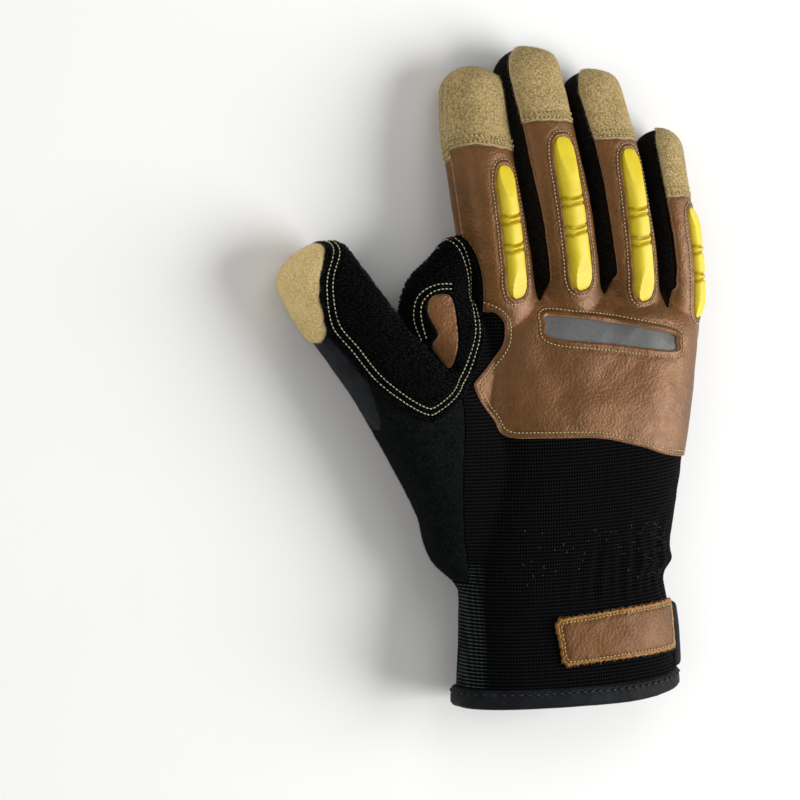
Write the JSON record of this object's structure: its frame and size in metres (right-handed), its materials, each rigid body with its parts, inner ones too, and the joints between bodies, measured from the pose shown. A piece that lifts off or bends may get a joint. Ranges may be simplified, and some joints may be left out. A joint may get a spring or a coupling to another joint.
{
  "type": "impact resistant work glove",
  "caption": "Goatskin work glove lying palm down, with suede fingertips, knit back, terry thumb, rubber finger bumpers and a bound cuff.",
  "frame": {"origin": "below the middle of the glove's box, on the surface that it lies on", "axes": "+Y from the hem to the fingertips, +X to the little finger, +Z from the palm up to the back of the hand"},
  "size_m": [0.1816, 0.2524, 0.046],
  "materials": {
    "leather": "grained goatskin, semi-matt",
    "suede": "rough suede, matt",
    "knit": "fine ribbed knit, matt",
    "terry": "looped terry, matt",
    "fleece": "fuzzy fleece, matt",
    "rubber": "satin moulded rubber",
    "tape": "fine reflective tape, satin",
    "binding": "rubbery woven binding, semi-matt",
    "tab": "black suede, matt"
  },
  "bodies": {
    "root": {"bumper_index": "rubber", "bumper_middle": "rubber", "bumper_ring": "rubber", "bumper_pinky": "rubber", "cuff_binding": "binding", "slit_binding": "binding", "fourchette_index_middle": "knit", "fourchette_middle_ring": "knit", "fourchette_ring_pinky": "knit", "side_gore": "knit", "back_knit": "knit", "cuff_palm_knit": "knit", "index_cap_back": "suede", "index_cap_palm": "suede", "middle_cap_back": "suede", "middle_cap_palm": "suede", "ring_cap_back": "suede", "ring_cap_palm": "suede", "pinky_cap_back": "suede", "pinky_cap_palm": "suede", "thumb_cap": "suede", "thumb_terry": "terry", "thumb_fabric": "fleece", "reflective_strip": "tape", "web_leather": "leather", "back_leather": "leather", "palm_leather": "leather", "wrist_strap": "leather", "wrist_leather_tab": "leather", "hang_tab": "tab"}
  },
  "joints": []
}
